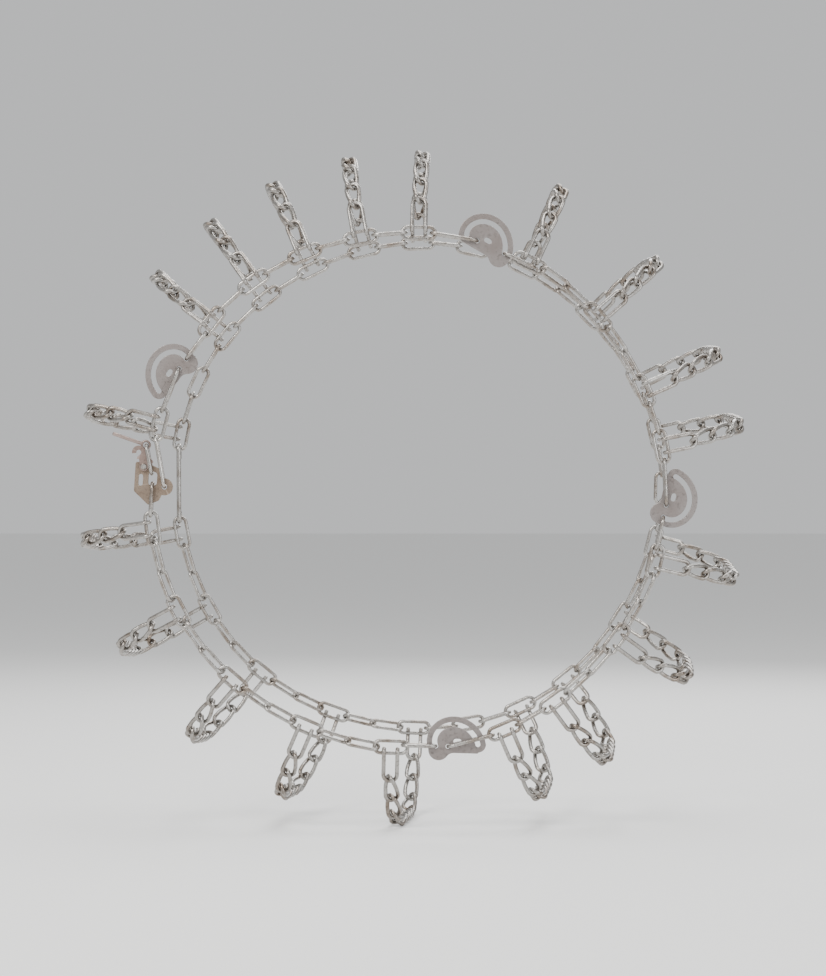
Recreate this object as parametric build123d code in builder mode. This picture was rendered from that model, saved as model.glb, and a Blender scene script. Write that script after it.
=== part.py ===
from build123d import *
from math import atan2, cos, degrees, hypot, pi, radians, sin, sqrt
import os

# Snow chain for a truck tyre, in the ring shape it has when it is fitted.
# Millimetres. The origin is the wheel's centre on its axle, the axle is Y,
# the outer side of the wheel faces -Y and +Z is up. Angles around the wheel
# run clockwise from the top, as seen from the outer side.

# Fit: an 11.00R20 tyre
TREAD_LINE = 552.0        # radius of the cross chains' centre line over the tread
TREAD_FLAT = 66.0         # half width of the flat stretch of that line
SHOULDER_RADIUS = 58.0    # bend of that line over the tyre's shoulder
SHOULDER_TURN = 64.0      # degrees the line turns there
SIDE_PLANE = 152.0        # distance of each side chain from the wheel's middle
RING_SHIFT = 10.0         # the outer ring hangs off centre, the inner one opposite
RING_SHIFT_ANGLE = 250.0
RING_WAVE = 2.0           # unevenness of each ring's radius
START_ANGLE = -2.0        # where the first hook link starts

GAP = 0.8                 # clearance between two links that pull on each other

# Side chain: straight oval links
SIDE_WIRE = 6.0
SIDE_PITCH = 48.4         # inner length of a link
SIDE_HALF = 10.0          # half the distance between a link's two rods
SIDE_STEP = SIDE_PITCH - GAP
PIVOT_PITCH = 70.0        # the longer link that carries a cam
REACH = (SIDE_WIRE + GAP) / 2   # from a contact point to the bar beyond it

# Cross chain: twisted links
CROSS_WIRE = 6.8
CROSS_PITCH = 38.0
CROSS_HALF = 11.4
CROSS_BULGE = 10.3        # half width in the middle of a twisted link
CROSS_LINKS = 10
CROSS_GAP = 1.2           # the same between two twisted links
CROSS_STEP = CROSS_PITCH - CROSS_GAP


# Cross hook: a wire bent double, its two tips curled around a side link's rod
HOOK_HALF = 11.0          # half the distance between its legs
HOOK_REACH = 48.7         # from the rod's centre to the eye
HOOK_CURL = SIDE_WIRE / 2 + CROSS_WIRE / 2 + 0.3
HOOK_WRAP = 150.0         # degrees that each tip goes around the rod
EYE_GAP = 1.2

# Tension cam: a stamped plate with a spiral slot around its pivot hole
CAM_THICK = 5.0
CAM_HOLE = 4.0            # radius of the pivot hole
SLOT_NEAR = 20.0          # pivot to slot link, chain pulled tight
SLOT_FAR = 49.0           # pivot to slot link, chain slack
SLOT_TURN = 175.0         # degrees of cam turn between the two
SLOT_HALF = 4.0
CAM_RIM = 9.0
KEY_HOLE = (13.0, 8.0)    # where the turning key fits
KEY_HOLE_AT = 17.5        # its distance from the pivot
KEY_HOLE_ANGLE = 150.0
LOBE_RADIUS = 17.0
WAIST_RADIUS = 14.0
NEAR_LOBE = (15.0, -6.0)
NEAR_LOBE_BASE = -10.5
FAR_LOBE = (-44.0, -5.0)
FAR_LOBE_BASE = -13.5
SLOT_LINK_DROP = 3.6      # the slot link runs below the curled hook tips
SLOT_LINK_SLACK = 2.6

# Fastener between the last hook link and the first one after it
FASTENER_RUN = 124.0
FASTENER_EAR = (46.0, -19.5)
FASTENER_THICK = 5.0
TAIL_PITCH = 42.0
TAIL_TOP = (112.0, 14.0)
TAIL_FOOT = (65.5, 2.0)
KEEPER_PIVOT = (77.0, 15.5)
KEEPER_CURL = (99.6, 25.2)
KEEPER_THICK = 3.5
PIN_ROD = 6.0
PIN_LENGTH = 51.0

PIN_BEHIND = 0.8
PIN_RING = 6.4
PIN_RING_WIRE = 2.0       # radius of the ring's wire
PIN_RING_AT = (112.27, 14.96, 0)
PIN_TILT = (0, 0, 74.5)
PLATE_OUTLINE = [
    (15, 5), (36, 29.5), (84, 29.5), (84, 12), (75, -10), (58, -13), (46, -22), (23, -12),
]
PLATE_CORNER = 3.0
EAR_RADIUS = 14.0
EAR_HOLE = 4.4
LINK_OPENING_AT = (58.1, 0)
LINK_OPENING = (21.8, 14.0)
PLATE_SLOT_AT = (55.0, 19.5)
PLATE_SLOT = (19.0, 7.0)
KEEPER_OUTLINE = [(86, 0), (94, 9), (103.5, 17), (99, 29), (88, 24), (72, 21), (77, 9), (80, 4)]
KEEPER_MOUTH = [(99, 24), (97, 37), (84, 37), (84, 28.5), (92, 27), (97, 22)]
KEEPER_BOSS = 7.5
CURL_OUTER = 11.0
CURL_INNER = 4.0
RIVET_SHANK = 3.0
RIVET_HOLE = 3.3
RIVET_HEAD = 5.5

# Inner closing hook: an eye, a shank and an open hook bent from one bar
CLOSING_WIRE = 8.0
CLOSING_BEND = 8.0
CLOSING_LIP = 15.0

# Plain links between one hook link and the next, all the way around
SPANS = ["cam", 3, 3, 2, "cam", 3, 3, 2, "cam", 3, 3, 3, 3, "fastener", "cam", 2, 2, 2, 2]
CAM_LOOSE = [True, False, False, False]
CAM_BULGE = [1, 1, -1, 1]   # 1 when the cam's round back points away from the axle

# Rolls of the plain links between two hook links that lie flat
LINK_ROLLS = {0: [], 1: [90], 2: [60, 120], 3: [90, 0, 90]}

BAR_SPAN = SIDE_PITCH + SIDE_WIRE
PIVOT_RUN = PIVOT_PITCH + SIDE_WIRE / 2 - GAP / 2
HOOK_LINK_AT = SLOT_NEAR + BAR_SPAN - SIDE_WIRE - SLOT_LINK_SLACK + BAR_SPAN / 2
TIGHT_RUN = HOOK_LINK_AT + SIDE_STEP / 2

os.makedirs("parts", exist_ok=True)


# ---------------------------------------------------------------- layout

def ring_radius(angle, mean, side):
    """Radius of a side ring, side -1 for the outer one and 1 for the inner one."""
    shift = -side * RING_SHIFT * cos(radians(angle - RING_SHIFT_ANGLE))
    wave = RING_WAVE * sin(radians(5 * angle + 40 * side))
    return mean + shift + wave


def ring_point(angle, mean, side):
    r = ring_radius(angle, mean, side)
    return Vector(r * sin(radians(angle)), side * SIDE_PLANE, r * cos(radians(angle)))


def step_angle(angle, chord, mean, side):
    """The angle of the next point at this chord length along the ring."""
    start = ring_point(angle, mean, side)
    low = angle
    high = angle + 40
    for _ in range(50):
        mid = (low + high) / 2
        if (ring_point(mid, mean, side) - start).length < chord:
            low = mid
        else:
            high = mid
    return low


def walk(chords, mean, side):
    angles = [START_ANGLE]
    for chord in chords:
        angles.append(step_angle(angles[-1], chord, mean, side))
    return angles


def close_ring(chords, side):
    """The mean radius at which the chords add up to one whole turn."""
    low = 350.0
    high = 500.0
    for _ in range(40):
        mid = (low + high) / 2
        if walk(chords, mid, side)[-1] - START_ANGLE > 360:
            low = mid
        else:
            high = mid
    return low


def outward(tangent):
    """The direction in the wheel's plane that is square to a tangent."""
    return Vector(-tangent.Z, 0, tangent.X)


def turned(direction, angle):
    """A direction in the wheel's plane, turned clockwise by degrees."""
    a = radians(angle)
    return direction * cos(a) - outward(direction) * sin(a)


def link_plane(start, end, face, roll=0.0):
    """X along the link, Z square to its flat side before the roll."""
    along = (end - start).normalized()
    normal = (face - along * face.dot(along)).normalized()
    side = normal.cross(along)
    rolled = normal * cos(radians(roll)) - side * sin(radians(roll))
    return Plane(origin=(start + end) * 0.5, x_dir=along, z_dir=rolled)


FRONT = Vector(0, -1, 0)


# ---------------------------------------------------------------- wire forms

def closed_wire(points, radii, wire):
    """A round bar bent around a closed path of straight runs and arcs."""
    with BuildPart() as bar:
        with BuildLine() as path:
            FilletPolyline(*points, radius=radii, close=True)
        edges = path.wires()[0].order_edges()
        run = edges.filter_by(GeomType.LINE)[0]
        with BuildSketch(Plane(origin=run @ 0, z_dir=run % 0)):
            Circle(wire / 2)
        sweep(path=path.wires()[0])
    return bar.part


def oval_link(pitch, half, wire):
    end = (pitch + wire) / 2
    corners = [(end, half), (-end, half), (-end, -half), (end, -half)]
    return closed_wire([(x, y, 0) for x, y in corners], [half * 0.995] * 4, wire)


def twisted_link(pitch, half, bulge, wire):
    """A link whose two ends are turned a quarter turn against each other."""
    end = (pitch + wire) / 2
    flat = half * sqrt(0.5)
    corner = half * 0.8
    points = [(end, 0, 0), (end, flat, -flat), (0, bulge, 0), (-end, flat, flat), (-end, 0, 0)]
    with BuildPart() as link:
        with BuildLine() as path:
            FilletPolyline(*points, radius=[corner, 50, corner])
        run = path.wires()[0]
        with BuildSketch(Plane(origin=run @ 0, z_dir=run % 0)):
            Circle(wire / 2)
        sweep(path=run)
        add(link.part, rotation=(180, 0, 0))
    return link.part


def cross_hook(reach):
    """X from the rod's centre to the eye, Y along the rod, Z to the front."""
    curl = HOOK_CURL
    wrap = radians(90 + HOOK_WRAP)
    tip = (curl * cos(wrap), curl * sin(wrap))
    middle = radians(90 + HOOK_WRAP / 2)
    crown = (curl * cos(middle), curl * sin(middle))
    bow = reach - HOOK_HALF
    with BuildPart() as hook:
        with BuildLine() as path:
            for s in (-HOOK_HALF, HOOK_HALF):
                ThreePointArc((tip[0], s, tip[1]), (crown[0], s, crown[1]), (0, s, curl))
                Line((0, s, curl), (bow, s, curl))
            ThreePointArc((bow, -HOOK_HALF, curl), (reach, 0, curl), (bow, HOOK_HALF, curl))
        wire = path.wires()[0]
        with BuildSketch(Plane(origin=wire @ 0, z_dir=wire % 0)):
            Circle(CROSS_WIRE / 2)
        sweep(path=wire)
    return hook.part


side_link = oval_link(SIDE_PITCH, SIDE_HALF, SIDE_WIRE)
pivot_link = oval_link(PIVOT_PITCH, SIDE_HALF, SIDE_WIRE)
tail_link = oval_link(TAIL_PITCH, SIDE_HALF, SIDE_WIRE)
cross_link = twisted_link(CROSS_PITCH, CROSS_HALF, CROSS_BULGE, CROSS_WIRE)
outer_hook = cross_hook(HOOK_REACH)


# ---------------------------------------------------------------- side rings

def outer_elements():
    """Kind and chord of each element of the outer ring, in order."""
    elements = []
    after_cam = False
    for span in SPANS:
        if not after_cam:
            elements.append(("hook", SIDE_STEP))
        after_cam = span == "cam"
        if span == "cam":
            elements.append(("pivot", PIVOT_RUN))
            elements.append(("run", hypot(TIGHT_RUN, SLOT_LINK_DROP)))
        elif span == "fastener":
            elements.append(("fastener", FASTENER_RUN))
        else:
            elements += [("plain", roll, SIDE_STEP) for roll in LINK_ROLLS[span - 1]]
    return elements


def inner_elements():
    elements = []
    for span in SPANS:
        elements.append(("hook", SIDE_STEP))
        if span == "fastener":
            elements.append(("fastener", FASTENER_RUN))
        else:
            count = 3 if span == "cam" else span - 1
            elements += [("plain", roll, SIDE_STEP) for roll in LINK_ROLLS[count]]
    return elements


def ring_contacts(elements, side):
    """The points where one element of a ring pulls on the next."""
    chords = [element[-1] for element in elements]
    mean = close_ring(chords, side)
    print("ring", side, "mean radius", round(mean, 2))
    return [ring_point(angle, mean, side) for angle in walk(chords, mean, side)]


outer_ring = {}       # chain segment: its links and their planes
outer_hook_links = []
cams = []             # pivot point and pulling direction of each cam
segment = 5
outer_ring[segment] = []
outer_list = outer_elements()
outer_points = ring_contacts(outer_list, -1)
for element, start, end in zip(outer_list, outer_points, outer_points[1:]):
    kind = element[0]
    pull = (end - start).normalized()
    if kind == "hook":
        plane = link_plane(start, end, FRONT)
        outer_hook_links.append(plane)
        outer_ring[segment].append((side_link, plane))
    elif kind == "plain":
        outer_ring[segment].append((side_link, link_plane(start, end, FRONT, element[1])))
    elif kind == "pivot":
        outer_ring[segment].append((pivot_link, link_plane(start - pull * REACH, end, FRONT, 90)))
    elif kind == "run":
        pull = turned(pull, degrees(atan2(SLOT_LINK_DROP, TIGHT_RUN)))
        cams.append((start, pull))
        segment = len(cams)
        outer_ring.setdefault(segment, [])
        middle = start + pull * HOOK_LINK_AT + outward(pull) * SLOT_LINK_DROP
        plane = Plane(origin=middle, x_dir=pull, z_dir=FRONT)
        outer_hook_links.append(plane)
        outer_ring[segment].append((side_link, plane))
    else:
        fastener_frame = Plane(origin=start, x_dir=pull, z_dir=FRONT)
        foot_link_end = start + pull * (BAR_SPAN - REACH)
        foot_link = (side_link, link_plane(start - pull * REACH, foot_link_end, FRONT, 90))
        outer_ring[segment].append(foot_link)

inner_ring = []
inner_hook_links = []
inner_list = inner_elements()
inner_points = ring_contacts(inner_list, 1)
for element, start, end in zip(inner_list, inner_points, inner_points[1:]):
    if element[0] == "hook":
        plane = link_plane(start, end, FRONT)
        inner_hook_links.append(plane)
        inner_ring.append(plane)
    elif element[0] == "plain":
        inner_ring.append(link_plane(start, end, FRONT, element[1]))
    else:
        pull = (end - start).normalized()
        closing_frame = Plane(origin=start, x_dir=pull, z_dir=outward(pull))


# ---------------------------------------------------------------- cross chains

HOOK_PAST = CROSS_WIRE / 2 + EYE_GAP - CROSS_GAP / 2    # from the last contact point to the eye
# Roll of each twisted link, so that its neighbours turn freely over the shoulders
LINK_TURNS = [24, 12, 12, 4, 0, 0, -4, -12, -12, -24]


def tread_line(s):
    """Y and radius of the cross chains' line, s millimetres from the tread's middle."""
    turn = radians(SHOULDER_TURN)
    bend = SHOULDER_RADIUS * turn
    a = abs(s)
    if a < TREAD_FLAT:
        y, r = a, TREAD_LINE
    elif a < TREAD_FLAT + bend:
        part = (a - TREAD_FLAT) / SHOULDER_RADIUS
        y = TREAD_FLAT + SHOULDER_RADIUS * sin(part)
        r = TREAD_LINE - SHOULDER_RADIUS * (1 - cos(part))
    else:
        rest = a - TREAD_FLAT - bend
        y = TREAD_FLAT + SHOULDER_RADIUS * sin(turn) + rest * cos(turn)
        r = TREAD_LINE - SHOULDER_RADIUS * (1 - cos(turn)) - rest * sin(turn)
    return (y if s > 0 else -y), r


def solve(low, high, grows):
    """Where a condition that holds below some value and fails above it changes."""
    for _ in range(50):
        mid = (low + high) / 2
        if grows(mid):
            low = mid
        else:
            high = mid
    return low


def hook_plane(rod, link, eye, face):
    """X towards the eye, Y along the rod and Z away from the wheel; and the reach."""
    out = outward(link.x_dir)
    arm = eye - rod
    slide = arm.dot(link.x_dir)
    reach = sqrt(arm.dot(out) ** 2 + arm.dot(face) ** 2 - HOOK_CURL ** 2)
    lean = atan2(HOOK_CURL, reach) - atan2(arm.dot(face), arm.dot(out))
    leg = out * cos(lean) - face * sin(lean)
    front = out * sin(lean) + face * cos(lean)
    return Plane(origin=rod + link.x_dir * slide, x_dir=leg, z_dir=front), reach


def polar_angle(point):
    return degrees(atan2(point.X, point.Z))


def cross_chain_planes(number, outer_link, inner_link):
    """The planes of one cross chain's links and of its two hooks."""
    outer_rod = outer_link.origin + outward(outer_link.x_dir) * SIDE_HALF
    inner_rod = inner_link.origin + outward(inner_link.x_dir) * SIDE_HALF
    out = outward(outer_link.x_dir)

    def eye_at(s):
        y, r = tread_line(s)
        along = solve(0, 120, lambda a: hypot((outer_rod + out * a).X, (outer_rod + out * a).Z) < r)
        eye = outer_rod + out * along
        return Vector(eye.X, y, eye.Z)

    span = hypot(HOOK_REACH, HOOK_CURL)
    first_eye = solve(-215, -120, lambda s: (eye_at(s) - outer_rod).length < span)
    eye = eye_at(first_eye)
    start = first_eye - HOOK_PAST
    start_angle = polar_angle(eye)
    turn = (polar_angle(inner_rod) - start_angle + 180) % 360 - 180
    sway = 6.0 * sin(2.4 * number)
    finish = -start

    def chain_point(s):
        y, r = tread_line(s)
        f = (s - start) / (finish - start)
        angle = radians(start_angle + turn * f) + sway * sin(pi * f) / TREAD_LINE
        return Vector(r * sin(angle), y, r * cos(angle))

    for _ in range(4):
        places = [start]
        for _ in range(CROSS_LINKS):
            last = chain_point(places[-1])
            near = places[-1]
            places.append(solve(near, near + 60, lambda s: (chain_point(s) - last).length < CROSS_STEP))
        finish = places[-1]
    points = [chain_point(s) for s in places]
    planes = []
    for a, b, roll in zip(points, points[1:], LINK_TURNS):
        angle = radians(polar_angle((a + b) * 0.5))
        sideways = Vector(cos(angle), 0, -sin(angle))
        planes.append(link_plane(a, b, sideways.cross(b - a), roll))
    last_eye = points[-1] - (points[-1] - points[-2]).normalized() * HOOK_PAST
    outer_plane, outer_reach = hook_plane(outer_rod, outer_link, eye, FRONT)
    inner_plane, inner_reach = hook_plane(inner_rod, inner_link, last_eye, FRONT * -1)
    return planes, outer_plane, inner_plane, inner_reach


cross_chains = []
outer_hook_planes = []
inner_hook_places = []
for number, (outer_link, inner_link) in enumerate(zip(outer_hook_links, inner_hook_links), 1):
    planes, outer_plane, inner_plane, inner_reach = cross_chain_planes(number, outer_link, inner_link)
    cross_chains.append(planes)
    outer_hook_planes.append(outer_plane)
    inner_hook_places.append((inner_plane, inner_reach))
    print("cross chain", number, "at", round(polar_angle(outer_plane.origin) % 360, 1))


# ---------------------------------------------------------------- tension cam

def slot_point(angle, shift=0.0):
    """A point beside the slot's spiral, angle from its near end, shift away from the pivot."""
    a = radians(angle)
    growth = (SLOT_FAR - SLOT_NEAR) / radians(SLOT_TURN)
    r = SLOT_NEAR + growth * a
    along = Vector(growth * cos(a) - r * sin(a), growth * sin(a) + r * cos(a)).normalized()
    return Vector(r * cos(a), r * sin(a)) + Vector(along.Y, -along.X) * shift


def slot_edge(shift, steps=7):
    return [slot_point(SLOT_TURN * k / steps, shift) for k in range(steps + 1)]


def band(inner, outer):
    """The closed outline between two curves along the slot, with round ends."""
    low = slot_edge(inner)
    high = slot_edge(outer)
    near_end = slot_point(0) + Vector(0, -1) * outer
    far_along = (slot_point(SLOT_TURN) - slot_point(SLOT_TURN - 1)).normalized()
    far_end = slot_point(SLOT_TURN) + far_along * outer
    Spline(*low)
    Spline(*high)
    ThreePointArc(low[0], near_end, high[0])
    ThreePointArc(low[-1], far_end, high[-1])


def tension_cam(frame, lobe, base):
    """A cam plate; X points from the pivot to the slot's near end, Y to the round back."""
    rim = SLOT_HALF + CAM_RIM
    near = slot_point(0)
    far = slot_point(SLOT_TURN)
    key = Vector(KEY_HOLE_AT, 0).rotate(Axis.Z, KEY_HOLE_ANGLE)
    with BuildPart() as cam:
        with BuildSketch(frame.offset(-CAM_THICK / 2)) as outline:
            with BuildLine():
                back = Spline(*slot_edge(rim))
                Polyline(back @ 1, (far.X, base), (near.X, base), back @ 0)
            make_face()
            with Locations(near, far):
                Circle(rim)
            with Locations(lobe):
                Circle(LOBE_RADIUS)
            waist = outline.vertices().filter_by(lambda v: abs(v.Y - base) < 0.01)
            fillet(waist.sort_by(lambda v: abs(v.X - lobe[0]))[0], WAIST_RADIUS)
            with BuildLine():
                band(-SLOT_HALF, SLOT_HALF)
            make_face(mode=Mode.SUBTRACT)
            Circle(CAM_HOLE, mode=Mode.SUBTRACT)
            with Locations(key):
                SlotOverall(KEY_HOLE[0], KEY_HOLE[1], mode=Mode.SUBTRACT)
        extrude(amount=CAM_THICK)
    return cam.part


# ---------------------------------------------------------------- fastener pieces

def fastener_level(height):
    """The fastener's sketch plane this far in front of the ring's plane."""
    return fastener_frame.offset(height)


with BuildPart() as fastener_plate:
    with BuildSketch(fastener_level(-FASTENER_THICK / 2)):
        with BuildLine():
            Polyline(*PLATE_OUTLINE, close=True)
        plate_face = make_face()
        fillet(plate_face.vertices(), PLATE_CORNER)
        with Locations(FASTENER_EAR):
            Circle(EAR_RADIUS)
            Circle(EAR_HOLE, mode=Mode.SUBTRACT)
        with Locations(LINK_OPENING_AT):
            RectangleRounded(*LINK_OPENING, 5, mode=Mode.SUBTRACT)
        with Locations(PLATE_SLOT_AT):
            SlotOverall(*PLATE_SLOT, mode=Mode.SUBTRACT)
        with Locations(KEEPER_PIVOT):
            Circle(RIVET_HOLE, mode=Mode.SUBTRACT)
    extrude(amount=FASTENER_THICK)

keeper_back = FASTENER_THICK / 2 + 0.3
with BuildPart() as fastener_keeper:
    with BuildSketch(fastener_level(keeper_back)):
        with BuildLine():
            Polyline(*KEEPER_OUTLINE, close=True)
        keeper_face = make_face()
        fillet(keeper_face.vertices(), 3)
        with Locations(KEEPER_PIVOT):
            Circle(KEEPER_BOSS)
            Circle(RIVET_HOLE, mode=Mode.SUBTRACT)
        with Locations(KEEPER_CURL):
            Circle(CURL_OUTER)
            Circle(CURL_INNER, mode=Mode.SUBTRACT)
        with BuildLine():
            Polyline(*KEEPER_MOUTH, close=True)
        make_face(mode=Mode.SUBTRACT)
    extrude(amount=KEEPER_THICK)

keeper_front = keeper_back + KEEPER_THICK
with BuildPart() as fastener_rivet:
    with BuildSketch(fastener_level(-FASTENER_THICK / 2 - 0.3)):
        with Locations(KEEPER_PIVOT):
            Circle(RIVET_SHANK)
    extrude(amount=keeper_front + 0.3 + FASTENER_THICK / 2 + 0.3)
    for level, direction in ((keeper_front + 0.3, 1), (-FASTENER_THICK / 2 - 0.3, -1)):
        with BuildSketch(fastener_level(level)):
            with Locations(KEEPER_PIVOT):
                Circle(RIVET_HEAD)
        extrude(amount=direction * 2.4, taper=35)

ear = fastener_frame.from_local_coords((FASTENER_EAR[0], FASTENER_EAR[1], 0))
far_bar = fastener_frame.from_local_coords((FASTENER_RUN + REACH, 0, 0))
long_link = oval_link((far_bar - ear).length - SIDE_WIRE, SIDE_HALF, SIDE_WIRE)
with BuildPart() as fastener_long_link:
    with Locations(link_plane(ear, far_bar, FRONT, 90)):
        add(long_link)

tail_foot = fastener_frame.from_local_coords((TAIL_FOOT[0], TAIL_FOOT[1], 0))
tail_top = fastener_frame.from_local_coords((TAIL_TOP[0], TAIL_TOP[1], 0))
with BuildPart() as fastener_tail_link:
    with Locations(link_plane(tail_foot, tail_top, FRONT, 90)):
        add(tail_link)

with BuildPart() as locking_pin:
    with Locations(fastener_level(-PIN_BEHIND)):
        with Locations(Location(PIN_RING_AT, PIN_TILT)):
            Torus(PIN_RING, PIN_RING_WIRE)
            with Locations(Location((PIN_RING, 0, 0), (0, 90, 0))):
                Cylinder(PIN_ROD / 2, PIN_LENGTH, align=(Align.CENTER, Align.CENTER, Align.MIN))
    chamfer(locking_pin.edges().filter_by(GeomType.CIRCLE).sort_by_distance(far_bar)[-1], 1.2)

with BuildPart() as inner_closing_hook:
    with BuildLine(closing_frame) as closing_path:
        eye_x = REACH + CLOSING_BEND - CLOSING_WIRE / 2 - SIDE_WIRE / 2 - 0.4
        end_x = FASTENER_RUN - eye_x
        CenterArc((eye_x, 0), CLOSING_BEND, 3, 267)
        Line((eye_x, -CLOSING_BEND), (end_x, -CLOSING_BEND))
        CenterArc((end_x, 0), CLOSING_BEND, -90, 180)
        Line((end_x, CLOSING_BEND), (end_x - CLOSING_LIP, CLOSING_BEND))
    closing_wire = closing_path.wires()[0]
    with BuildSketch(Plane(origin=closing_wire @ 0, z_dir=closing_wire % 0)):
        Circle(CLOSING_WIRE / 2)
    sweep(path=closing_wire)


# ---------------------------------------------------------------- placing and writing

def write(part, name):
    part.label = name
    export_step(part, f"parts/{name}.step")


def write_group(pieces, name):
    """One node of separate solids, each a form with the plane it lies on."""
    with BuildPart() as group:
        for form, plane in pieces:
            with Locations(plane):
                add(form)
    write(group.part, name)


for number, pieces in outer_ring.items():
    write_group(pieces, f"outer_side_chain_{number}")
write_group([(side_link, plane) for plane in inner_ring], "inner_side_chain")

for number, planes in enumerate(cross_chains, 1):
    write_group([(cross_link, plane) for plane in planes], f"cross_chain_{number:02d}")
    write_group([(outer_hook, outer_hook_planes[number - 1])], f"outer_hook_{number:02d}")
write_group([(cross_hook(reach), plane) for plane, reach in inner_hook_places], "inner_hooks")

for number, (pivot, pull) in enumerate(cams, 1):
    bulge = CAM_BULGE[number - 1]
    loose = CAM_LOOSE[number - 1]
    if loose:
        turned_pull = turned(pull * -1, (180 - SLOT_TURN) * bulge)
        frame = Plane(origin=pivot, x_dir=turned_pull, z_dir=FRONT * -bulge)
        cam = tension_cam(frame, FAR_LOBE, FAR_LOBE_BASE)
    else:
        frame = Plane(origin=pivot, x_dir=pull, z_dir=FRONT * bulge)
        cam = tension_cam(frame, NEAR_LOBE, NEAR_LOBE_BASE)
    slot_bar = pivot + pull * (SLOT_FAR if loose else SLOT_NEAR)
    slot_link = link_plane(slot_bar, slot_bar + pull * BAR_SPAN, FRONT, 90)
    write(cam, f"tension_cam_{number}")
    write_group([(side_link, slot_link)], f"cam_slot_link_{number}")
    print("cam", number, "pivot", pivot, "pull", pull)

write(fastener_plate.part, "fastener_plate")
write(fastener_keeper.part, "fastener_keeper")
write(fastener_rivet.part, "fastener_rivet")
write(fastener_long_link.part, "fastener_long_link")
write(fastener_tail_link.part, "fastener_tail_link")
write(locking_pin.part, "locking_pin")
write(inner_closing_hook.part, "inner_closing_hook")
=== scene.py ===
import math
import bpy
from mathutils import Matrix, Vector


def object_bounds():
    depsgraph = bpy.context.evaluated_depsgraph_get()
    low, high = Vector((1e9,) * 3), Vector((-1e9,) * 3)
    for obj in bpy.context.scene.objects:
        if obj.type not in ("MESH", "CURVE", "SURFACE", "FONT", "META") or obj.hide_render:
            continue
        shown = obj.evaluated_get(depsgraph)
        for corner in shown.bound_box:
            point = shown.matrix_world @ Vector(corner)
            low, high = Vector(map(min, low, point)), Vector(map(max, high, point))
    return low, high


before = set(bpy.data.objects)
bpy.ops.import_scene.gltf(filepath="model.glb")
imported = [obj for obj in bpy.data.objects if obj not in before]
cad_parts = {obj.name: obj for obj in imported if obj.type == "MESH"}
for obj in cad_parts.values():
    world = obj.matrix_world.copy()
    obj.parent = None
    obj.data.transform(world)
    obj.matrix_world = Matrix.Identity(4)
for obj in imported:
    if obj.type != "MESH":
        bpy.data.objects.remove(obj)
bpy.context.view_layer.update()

FLOOR_DROP = 0.0005          # the floor lies this far below the object, in metres
FLOOR_REACH = 30.0
BUMP_DEPTH = 0.0004
JOIN_DISTANCE = 0.00002      # vertices closer than this are one before the edges are rounded
EDGE_ROUNDING = 0.0007
EDGE_ANGLE = 50.0
CAMERA_DISTANCE = 4.75
CAMERA_LENS = 104.0
SENSOR_WIDTH = 36.0
STAMPED_PLATES = ("tension_cam_1", "tension_cam_2", "tension_cam_3", "tension_cam_4",
                  "fastener_plate", "fastener_keeper")


# ---------------------------------------------------------------- materials

def steel(name, clean, stain, dark, rough, metal, stain_amount, scale, bump):
    """Worn steel: a clean colour, brown stains, dark grime and a painted highlight on convex edges."""
    material = bpy.data.materials.new(name)
    material.use_nodes = True
    tree = material.node_tree
    nodes = tree.nodes
    links = tree.links
    shader = nodes["Principled BSDF"]
    shader.inputs["Metallic"].default_value = metal
    place = nodes.new("ShaderNodeTexCoord")

    def noise(size, detail, roughness):
        node = nodes.new("ShaderNodeTexNoise")
        node.inputs["Scale"].default_value = size
        node.inputs["Detail"].default_value = detail
        node.inputs["Roughness"].default_value = roughness
        links.new(place.outputs["Object"], node.inputs["Vector"])
        return node

    def ramp(source, low, high, low_value, high_value):
        node = nodes.new("ShaderNodeMapRange")
        node.inputs["From Min"].default_value = low
        node.inputs["From Max"].default_value = high
        node.inputs["To Min"].default_value = low_value
        node.inputs["To Max"].default_value = high_value
        links.new(source, node.inputs["Value"])
        return node.outputs["Result"]

    def blend(factor, first, second):
        node = nodes.new("ShaderNodeMix")
        node.data_type = "RGBA"
        node.clamp_factor = True
        links.new(factor, node.inputs["Factor"])
        if isinstance(first, tuple):
            node.inputs["A"].default_value = (*first, 1.0)
        else:
            links.new(first, node.inputs["A"])
        node.inputs["B"].default_value = (*second, 1.0)
        return node.outputs["Result"]

    broad = noise(scale, 5.0, 0.6)
    fine = noise(scale * 7.0, 6.0, 0.65)
    grain = noise(scale * 40.0, 3.0, 0.5)
    stains = ramp(broad.outputs["Fac"], 0.44, 0.66, 0.0, stain_amount)
    grime = ramp(fine.outputs["Fac"], 0.52, 0.74, 0.0, 0.75)
    colour = blend(stains, clean, stain)
    colour = blend(grime, colour, dark)
    # painted highlight: convex edges (high pointiness) are mixed towards a lighter copy of the clean
    # colour
    geometry = nodes.new("ShaderNodeNewGeometry")
    edge_highlight_mask = ramp(geometry.outputs["Pointiness"], 0.53, 0.62, 0.0, 0.55)
    highlight_colour = tuple(min(1.0, c * 1.5 + 0.06) for c in clean)
    colour = blend(edge_highlight_mask, colour, highlight_colour)
    links.new(colour, shader.inputs["Base Color"])
    links.new(ramp(fine.outputs["Fac"], 0.35, 0.7, rough - 0.08, rough + 0.16), shader.inputs["Roughness"])
    bump_node = nodes.new("ShaderNodeBump")
    bump_node.inputs["Strength"].default_value = bump
    bump_node.inputs["Distance"].default_value = BUMP_DEPTH
    links.new(grain.outputs["Fac"], bump_node.inputs["Height"])
    links.new(bump_node.outputs["Normal"], shader.inputs["Normal"])
    return material


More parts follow.
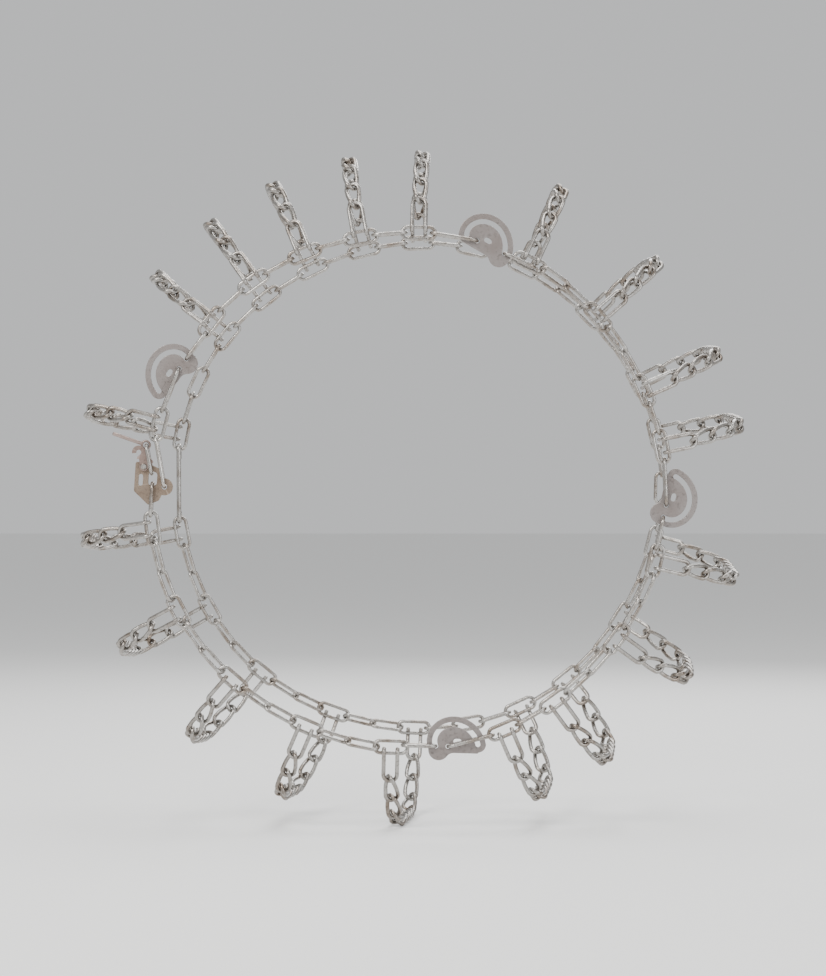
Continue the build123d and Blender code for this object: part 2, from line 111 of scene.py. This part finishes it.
side_steel = steel("side_chain_steel", (0.40, 0.385, 0.365), (0.20, 0.15, 0.11), (0.045, 0.035, 0.03),
                   0.27, 0.92, 0.75, 34.0, 0.30)
cross_steel = steel("cross_chain_steel", (0.35, 0.335, 0.315), (0.18, 0.135, 0.10), (0.04, 0.03, 0.025),
                    0.28, 0.92, 0.80, 30.0, 0.35)
hook_steel = steel("hook_steel", (0.38, 0.365, 0.345), (0.20, 0.155, 0.12), (0.045, 0.035, 0.03),
                   0.30, 0.90, 0.70, 28.0, 0.30)
cam_steel = steel("cam_steel", (0.25, 0.225, 0.215), (0.19, 0.155, 0.14), (0.07, 0.055, 0.05),
                  0.46, 0.55, 0.65, 22.0, 0.35)
plate_steel = steel("fastener_plate_steel", (0.25, 0.19, 0.145), (0.16, 0.11, 0.075), (0.055, 0.04, 0.03),
                    0.44, 0.55, 0.75, 26.0, 0.40)
keeper_steel = steel("keeper_steel", (0.26, 0.19, 0.165), (0.18, 0.12, 0.095), (0.06, 0.045, 0.04),
                     0.40, 0.60, 0.65, 30.0, 0.35)
bright_steel = steel("bright_steel", (0.55, 0.53, 0.50), (0.30, 0.245, 0.20), (0.08, 0.065, 0.055),
                     0.24, 0.95, 0.50, 34.0, 0.25)
pin_steel = steel("pin_steel", (0.31, 0.24, 0.215), (0.21, 0.15, 0.125), (0.07, 0.05, 0.045),
                  0.34, 0.75, 0.60, 30.0, 0.30)


def steel_for(name):
    if name.startswith("tension_cam"):
        return cam_steel
    if name == "fastener_plate":
        return plate_steel
    if name == "fastener_keeper":
        return keeper_steel
    if name == "locking_pin":
        return pin_steel
    if name in ("fastener_rivet", "fastener_long_link"):
        return bright_steel
    if name.startswith("cross_chain"):
        return cross_steel
    if "hook" in name:
        return hook_steel
    return side_steel


def dress(name, item):
    item.data.materials.clear()
    item.data.materials.append(steel_for(name))
    for polygon in item.data.polygons:
        polygon.material_index = 0


for node_name, node_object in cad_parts.items():
    dress(node_name, node_object)

# Stamped plates: slightly rounded edges
for node_name in STAMPED_PLATES:
    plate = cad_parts[node_name]
    weld = plate.modifiers.new("join", "WELD")
    weld.merge_threshold = JOIN_DISTANCE
    rounding = plate.modifiers.new("rounding", "BEVEL")
    rounding.width = EDGE_ROUNDING
    rounding.segments = 2
    rounding.limit_method = "ANGLE"
    rounding.angle_limit = math.radians(EDGE_ANGLE)
    rounding.harden_normals = False

# ---------------------------------------------------------------- size after
low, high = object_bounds()

# ---------------------------------------------------------------- floor, light and camera


def plain_material(name, colour, roughness):
    material = bpy.data.materials.new(name)
    material.use_nodes = True
    shader = material.node_tree.nodes["Principled BSDF"]
    shader.inputs["Base Color"].default_value = (*colour, 1.0)
    shader.inputs["Roughness"].default_value = roughness
    return material


def area_light(name, place, target, size, energy, colour):
    data = bpy.data.lights.new(name, "AREA")
    data.shape = "RECTANGLE"
    data.size = size[0]
    data.size_y = size[1]
    data.energy = energy
    data.color = colour
    item = bpy.data.objects.new(name, data)
    item.location = place
    item.rotation_euler = (Vector(target) - Vector(place)).to_track_quat("-Z", "Y").to_euler()
    bpy.context.scene.collection.objects.link(item)


floor_data = bpy.data.meshes.new("floor")
floor_level = low[2] - FLOOR_DROP
floor_corners = [(x * FLOOR_REACH, y * FLOOR_REACH, floor_level)
                 for x, y in ((-1, -1), (1, -1), (1, 1), (-1, 1))]
floor_data.from_pydata(floor_corners, [], [(0, 1, 2, 3)])
floor = bpy.data.objects.new("floor", floor_data)
floor.data.materials.append(plain_material("floor_paper", (0.86, 0.86, 0.85), 0.9))
bpy.context.scene.collection.objects.link(floor)

area_light("key", (-2.4, -3.4, 2.8), (0, 0, 0), (2.2, 1.6), 190.0, (1.0, 0.98, 0.95))
area_light("fill", (3.0, -3.0, 1.0), (0, 0, 0), (2.4, 2.4), 80.0, (0.95, 0.97, 1.0))
area_light("top", (0.3, 0.4, 3.4), (0, 0, 0), (2.6, 2.0), 110.0, (1.0, 1.0, 1.0))
area_light("back", (0.8, 3.2, 1.8), (0, 0, 0), (2.0, 1.4), 60.0, (1.0, 1.0, 1.0))

world = bpy.data.worlds.new("studio")
world.use_nodes = True
world.node_tree.nodes["Background"].inputs["Color"].default_value = (0.86, 0.87, 0.88, 1.0)
world.node_tree.nodes["Background"].inputs["Strength"].default_value = 0.75
bpy.context.scene.world = world

camera_data = bpy.data.cameras.new("camera")
camera_data.lens = CAMERA_LENS
camera_data.sensor_width = SENSOR_WIDTH
camera = bpy.data.objects.new("camera", camera_data)
camera.location = (0.0, -CAMERA_DISTANCE, 0.0)
camera.rotation_euler = (math.radians(90.0), 0.0, 0.0)
bpy.context.scene.collection.objects.link(camera)
bpy.context.scene.camera = camera
